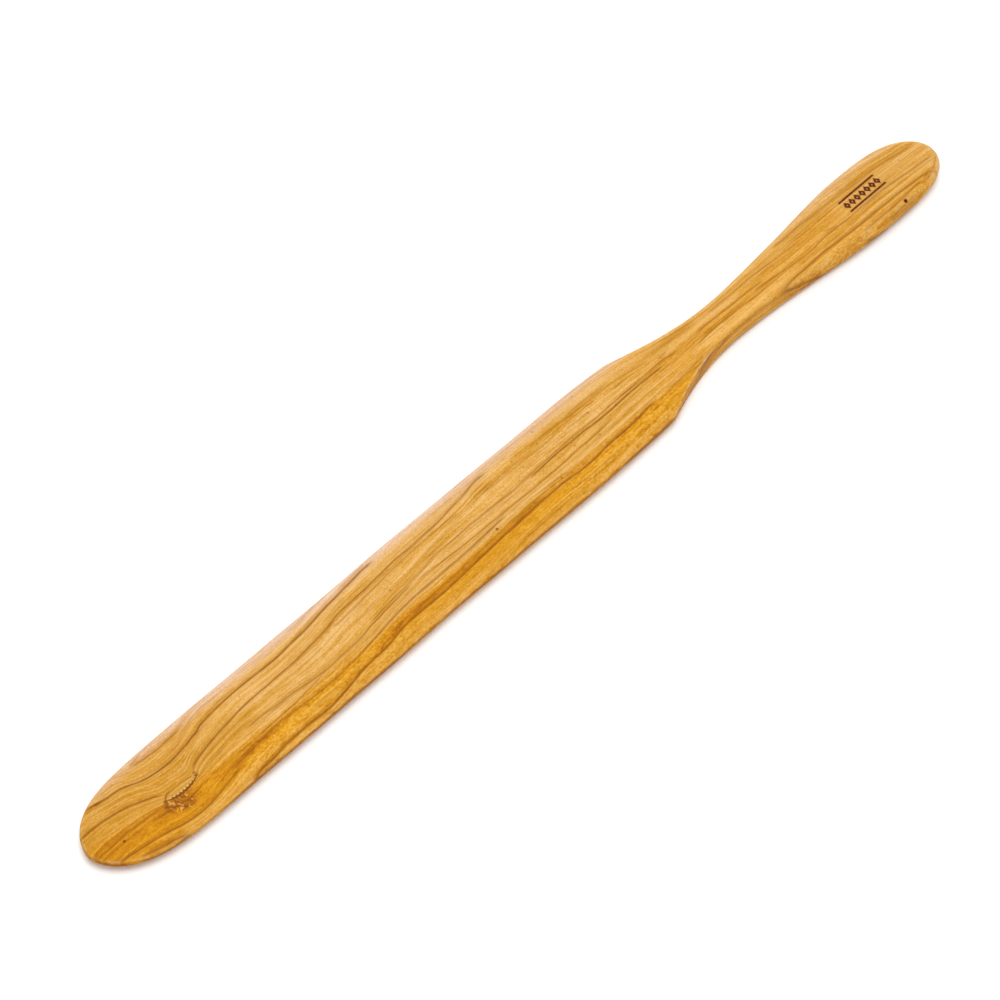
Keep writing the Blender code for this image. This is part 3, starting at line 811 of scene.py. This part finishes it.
# Streaks that follow the rings, from broad to fine: scale along, across and into the board, detail,
# roughness, and weight in the shade
STREAKS = {
    "broad": (0.012, 0.55, 0.3, 2.0, 0.6, 1.15),
    "streak": (0.030, 1.9, 0.8, 3.0, 0.6, 1.15),
    "fibre": (0.16, 6.5, 2.5, 3.0, 0.6, 0.95),
    "hair": (1.1, 12.0, 5.0, 2.0, 0.5, 1.05),
}
SHADE_LEVEL = 0.36
HAIRLINES = ((1.15, 21.0, 0.42), (2.3, 33.0, 0.36), (3.9, 47.0, 0.30))  # scale, seed, strength

# How high each mask stands in the bump, in units of BUMP_DISTANCE
RELIEF = {
    "fibre": 0.050, "hair": 0.035, "streak": 0.020, "mottle": 0.030, "pores": -0.030, "veins": -0.020,
    "gnarl": -0.045, "eye_rim": -0.12, "dots": -0.08, "char": -0.03,
}
BUMP_STRENGTH = 0.9
BUMP_DISTANCE = 0.001


def shade_of(n):
    """0 for the palest wood to 1 for the darkest: streaks, mottle, speckles, painted shade on the walls and
    broad bands.
    """
    shade = SHADE_LEVEL
    for name, (along, across, into, detail, rough, weight) in STREAKS.items():
        n.masks[name] = n.noise((n.s, along), (n.ring, across), (n.depth, into), detail, rough)
        shade = n.swing(n.masks[name], weight, shade)

    speckled = n.attribute("speckled")
    n.masks["mottle"] = n.noise((n.s, 0.28), (n.ring, 0.75), n.depth, 3.0, 0.55, 0.6)
    shade = n.swing(n.masks["mottle"], n.add_scaled(speckled, 0.8, 0.45), shade)
    speckle = n.noise((n.s, 0.85), (n.y, 1.5), n.math("ADD", n.depth, 2.0), 2.0, 0.6)
    shade = n.swing(speckle, n.add_scaled(speckled, 1.35, 0.24), shade)

    # Painted shade on the side walls, deepening towards the floor
    wall_shade_depth = n.add_scaled(n.map(n.depth, 1.0, 6.0), 0.40, 0.62)
    shade = n.add_scaled(n.attribute("wall"), wall_shade_depth, shade)
    return n.add_scaled(n.attribute("tone"), 0.62, shade, clamp=True)


def plain_wood(n, shade):
    """Pale and golden wood, with a painted sheen, pale and pinkish, along the far side of the blade."""
    colour = n.mix(n.gold, n.ramp(shade, PALE_WOOD), n.ramp(shade, GOLDEN_WOOD))
    # Painted sheen along the far edge of the blade, weaker near the tip and past the neck
    inward = n.map(n.s, 226.0, 250.0, 0.0, 3.6)
    far_sheen = n.map(n.math("ADD", n.y, inward), 10.0, 14.6, 0.0, 0.78)
    far_sheen = n.multiply(far_sheen, n.map(n.s, 20.0, 60.0, 0.72, 1.0), n.map(n.s, 244.0, 226.0, 0.5, 1.0))
    return n.mix(far_sheen, colour, n.mix(shade, *(wood(c) for c in FAR_EDGE_SHEEN)))


def with_veins(n, colour):
    """Latewood lines: thin, crisp on one side, broken up a little along their length, in a warm glow."""
    ragged = n.noise((n.s, 0.16), (n.ring, 0.3), 3.0, 2.0)
    ragged = n.multiply(n.math("SUBTRACT", ragged, 0.5), 1.6)
    lines, glows = [], []
    for k in range(VEIN_CHANNELS):
        ink = n.attribute(f"ink_{k}")
        away = n.math("ADD", n.attribute(f"away_{k}"), ragged)
        far = n.math("ABSOLUTE", away)
        core = n.math("EXPONENT", n.multiply(n.multiply(away, away), -0.75))
        halo = n.math("EXPONENT", n.multiply(far, n.map(away, -0.3, 0.3, -1.5, -0.5)))
        lines.append(n.multiply(n.add_scaled(core, 0.72, n.multiply(halo, 0.36)), ink))
        glows.append(n.multiply(n.math("EXPONENT", n.multiply(far, -0.55)), ink))
    colour = n.paint(colour, VEIN_GLOW, n.largest(glows), 0.44)
    broken = n.map(n.noise((n.s, 0.22), (n.ring, 0.5), 7.0, 3.0, 0.6), 0.28, 0.56, 0.72, 1.0)
    n.masks["veins"] = n.math("MULTIPLY", n.largest(lines), broken, clamp=True)
    return n.mix(n.masks["veins"], colour, n.of_gold(LATEWOOD))


def with_hairlines(n, colour):
    """Hairlines of latewood between the veins, wherever a slow noise crosses its middle."""
    lines = []
    for scale, seed, amount in HAIRLINES:
        field = n.noise((n.s, 0.011 * scale), (n.ring, 0.62 * scale), seed, 1.0)
        crossing = n.map(n.distance(field, 0.5), 0.020, 0.004)
        presence = n.map(n.noise((n.s, 0.035), (n.ring, 0.5), seed + 4, 2.0), 0.42, 0.62)
        lines.append(n.multiply(crossing, presence, amount))
    return n.mix(n.largest(lines), colour, n.of_gold(LATEWOOD))


def with_knot(n, colour):
    """The rough knot: dark outlines and hollows of a curly noise, and a few glints."""
    knot = n.attribute("knot")
    curl = n.noise((n.s, 0.50), (n.y, 0.36), 0.7, 1.0, 0.5, 1.0)
    outline = n.map(n.distance(curl, 0.5), 0.095, 0.025)
    n.masks["gnarl"] = n.multiply(knot, n.largest([outline, n.map(curl, 0.40, 0.30)]))
    colour = n.paint(colour, KNOT_DARK, n.masks["gnarl"], 0.74)
    return n.paint(colour, KNOT_GLINT, n.multiply(knot, n.map(curl, 0.56, 0.64)), 0.34)


def with_eye(n, colour):
    """The eye above the knot: a lens of paler wood with a beaded dark rim on its lower side."""
    across = n.math("DIVIDE", n.math("SUBTRACT", n.s, EYE[0]), EYE_HALF[0])
    arc = n.math("SUBTRACT", 1.0, n.multiply(across, across), clamp=True)
    lens = n.math("DIVIDE", n.math("SUBTRACT", n.y, EYE[1]), n.add_scaled(arc, EYE_HALF[1], 0.02))
    ripple = n.math("SINE", n.multiply(n.s, 5.2))

    pale = n.multiply(n.map(n.math("ABSOLUTE", lens), 1.0, 0.45), n.map(arc, 0.02, 0.25), n.top_side)
    colour = n.paint(colour, EYE_PALE, pale, 0.14)
    from_rim = n.math("ABSOLUTE", n.math("ADD", n.math("ADD", lens, 1.05), n.multiply(ripple, 0.10)))
    n.masks["eye_rim"] = n.multiply(n.map(from_rim, 0.52, 0.14), n.map(arc, 0.0, 0.12), n.top_side)
    colour = n.paint(colour, EYE_RIM, n.masks["eye_rim"], 0.92)
    from_beads = n.math("ABSOLUTE", n.math("ADD", lens, 0.55))
    beads = n.multiply(n.map(from_beads, 0.26, 0.08), n.map(ripple, 0.0, 0.7))
    return n.paint(colour, EYE_BEAD, n.multiply(beads, n.map(arc, 0.3, 0.6), n.top_side), 0.7)


def with_threads(n, colour):
    """Yellower threads in the fibre."""
    return n.mix(n.map(n.masks["hair"], 0.48, 0.68, 0.0, 0.50), colour, n.of_gold(THREADS))


def with_arris_highlight(n, colour):
    """Painted highlight along the arris, pale and uneven."""
    uneven = n.map(n.noise((n.s, 0.16), (n.y, 0.2), 9.0, 3.0, 0.6), 0.36, 0.62)
    return n.paint(colour, ARRIS_HIGHLIGHT, n.multiply(n.attribute("arris_light"), uneven), 0.36)


def with_pores(n, colour):
    """Pores: short dark dashes along the grain."""
    pore = n.noise((n.s, 0.75), (n.ring, 5.2), (n.depth, 3.0), 2.0, 0.55)
    n.masks["pores"] = n.map(pore, 0.66, 0.76)
    return n.paint(colour, PORE, n.masks["pores"], 0.45)


def with_dots(n, colour):
    """Dots of dark wood, and dark flecks, few and far between."""
    dots = n.multiply(n.map(n.attribute("dot_away"), 1.15, 0.55), n.attribute("dot_ink"), n.top_side)
    n.masks["dots"] = dots
    colour = n.paint(colour, DOT, dots)
    fleck = n.noise((n.s, 0.62), (n.y, 1.25), n.math("ADD", n.depth, 11.0), 1.0)
    return n.paint(colour, FLECK, n.map(fleck, 0.775, 0.83), 0.55)


def with_pin_knot(n, colour):
    along, across = n.distance(n.s, PIN[0]), n.multiply(n.distance(n.y, PIN[1]), PIN_SQUASH)
    away = n.math("SQRT", n.add_scaled(along, along, n.multiply(across, across)))
    return n.paint(colour, PIN_DARK, n.multiply(n.map(away, 0.80, 0.46), n.top_side))


def with_mark(n, colour):
    """The burnt mark: a plain row of hollow lozenges between two rails, slightly uneven in depth."""
    half_length = MARK_PITCH * MARK_COUNT / 2
    along, across = n.math("SUBTRACT", n.s, MARK_CENTRE[0]), n.distance(n.y, MARK_CENTRE[1])
    cell = n.math("FRACT", n.math("ADD", n.math("DIVIDE", along, MARK_PITCH), 0.5))
    # 0 in the middle of each lozenge, 1 on its outline
    lozenge = n.add_scaled(n.distance(cell, 0.5), 2.0, n.multiply(across, 2 / MARK_TALL))
    from_rail = n.distance(across, MARK_RAIL)
    from_middle = n.math("ABSOLUTE", along)

    scorch = n.largest([n.map(lozenge, 1.5, 0.9), n.map(from_rail, 0.9, 0.2)])
    scorch = n.multiply(scorch, n.map(from_middle, half_length + 0.7, half_length - 0.1), n.top_side)
    colour = n.paint(colour, SCORCH, scorch, 0.42)
    hollow = n.math("SUBTRACT", n.map(lozenge, 1.04, 0.90), n.map(lozenge, 0.28, 0.18), clamp=True)
    mark = n.largest([hollow, n.map(from_rail, 0.37, 0.25)])
    mark = n.multiply(mark, n.map(from_middle, half_length + 0.08, half_length - 0.08), n.top_side)
    depth = n.map(n.noise((n.s, 1.6), (n.y, 1.6), 5.0, 3.0, 0.6), 0.32, 0.50, 0.72, 1.0)
    n.masks["char"] = n.multiply(mark, depth)
    return n.paint(colour, CHAR, n.masks["char"])


def contrasted(n, colour):
    """Each channel's swing around its mean, widened by its own contrast, which is greatest in blue."""
    split, joined = n.new("ShaderNodeSeparateColor"), n.new("ShaderNodeCombineColor")
    n.link(colour, split.inputs[0])
    for channel, (mean, contrast) in enumerate(zip(MEAN_ALBEDO, CONTRAST)):
        swing = n.math("POWER", n.math("DIVIDE", split.outputs[channel], mean), contrast)
        n.link(n.multiply(swing, mean), joined.inputs[channel])
    return joined.outputs[0]


def add_bump(n):
    height = 0.0
    for mask, tall in RELIEF.items():
        height = n.add_scaled(n.masks[mask], tall, height)
    bump = n.new("ShaderNodeBump")
    bump.inputs["Strength"].default_value = BUMP_STRENGTH
    bump.inputs["Distance"].default_value = BUMP_DISTANCE
    n.link(height, bump.inputs["Height"])
    n.link(bump.outputs[0], n.shader.inputs["Normal"])


def olive_wood():
    n = Wood("olive_wood")
    colour = plain_wood(n, shade_of(n))
    surface = with_veins, with_hairlines, with_knot, with_eye, with_threads, with_arris_highlight, with_pores
    details = with_dots, with_pin_knot, with_mark, contrasted
    for layer in surface + details:
        colour = layer(n, colour)
    n.link(colour, n.shader.inputs["Base Color"])
    add_bump(n)
    rough = n.add_scaled(n.masks["streak"], 0.16, 0.32)
    n.link(n.add_scaled(n.masks["pores"], 0.10, rough), n.shader.inputs["Roughness"])
    n.shader.inputs["Metallic"].default_value = 0.0
    n.shader.inputs["IOR"].default_value = 1.47
    n.shader.inputs["Specular IOR Level"].default_value = 0.06
    return n.material


# -------------------- studio
FLOOR_COLOUR = (0.94, 0.94, 0.94, 1.0)
FLOOR_HALF = 4.0
FLOOR_GAP = 0.00002         # between the tool and the floor
WORLD_STRENGTH = 0.62
# Square soft boxes that look at the middle of the tool: name, direction, distance, size, power
LIGHTS = (
    ("key", (-0.60, -0.78, 0.45), 1.6, 1.3, 12.2),
    ("overhead", (0.05, 0.05, 1.0), 1.8, 1.4, 15.0),
    ("fill", (0.27, 0.46, 1.0), 1.6, 1.3, 9.5),
)
CAMERA_LENS = 153.2         # mm, on the sensor's width
CAMERA_SENSOR = 36.0
CAMERA_TARGET = (0.01044, -0.00448, 0.0)
CAMERA_AZIMUTH = math.radians(42.53)
CAMERA_ELEVATION = math.radians(50.806)
CAMERA_DISTANCE = 1.2


def look_along(thing, direction):
    thing.rotation_mode = "QUATERNION"
    thing.rotation_quaternion = direction.to_track_quat("-Z", "Y")


def floor_material():
    n = Nodes("pale_floor")
    n.shader.inputs["Base Color"].default_value = FLOOR_COLOUR
    n.shader.inputs["Roughness"].default_value = 0.9
    n.shader.inputs["Specular IOR Level"].default_value = 0.1
    return n.material


def add_floor():
    mesh = bpy.data.meshes.new("floor")
    corners = [(FLOOR_HALF * x, FLOOR_HALF * y, 0) for x, y in ((-1, -1), (1, -1), (1, 1), (-1, 1))]
    mesh.from_pydata(corners, [], [(0, 1, 2, 3)])
    mesh.materials.append(floor_material())
    floor = bpy.data.objects.new("floor", mesh)
    floor.location.z = LOW.z - FLOOR_GAP
    bpy.context.scene.collection.objects.link(floor)


def add_light(name, direction, distance, size, power):
    data = bpy.data.lights.new(name, "AREA")
    data.shape = "SQUARE"
    data.size = size
    data.energy = power
    light = bpy.data.objects.new(name, data)
    light.location = Vector(direction).normalized() * distance
    look_along(light, -light.location)
    bpy.context.scene.collection.objects.link(light)


def add_world():
    world = bpy.data.worlds.new("studio")
    world.use_nodes = True
    background = world.node_tree.nodes["Background"]
    background.inputs["Color"].default_value = (1, 1, 1, 1)
    background.inputs["Strength"].default_value = WORLD_STRENGTH
    bpy.context.scene.world = world


def add_camera():
    data = bpy.data.cameras.new("camera")
    data.lens = CAMERA_LENS
    data.sensor_width = CAMERA_SENSOR
    data.clip_start, data.clip_end = 0.05, 20.0
    camera = bpy.data.objects.new("camera", data)
    flat = math.cos(CAMERA_ELEVATION)
    back = Vector(
        (flat * math.cos(CAMERA_AZIMUTH), flat * math.sin(CAMERA_AZIMUTH), math.sin(CAMERA_ELEVATION))
    )
    camera.location = Vector(CAMERA_TARGET) + back * CAMERA_DISTANCE
    look_along(camera, -back)
    bpy.context.scene.collection.objects.link(camera)
    bpy.context.scene.camera = camera


turner = build_turner()
turner.data.materials.append(olive_wood())
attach(turner, "root")
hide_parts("turner")

add_floor()
add_world()
for light_settings in LIGHTS:
    add_light(*light_settings)
add_camera()
bpy.context.scene.view_settings.view_transform = "Standard"
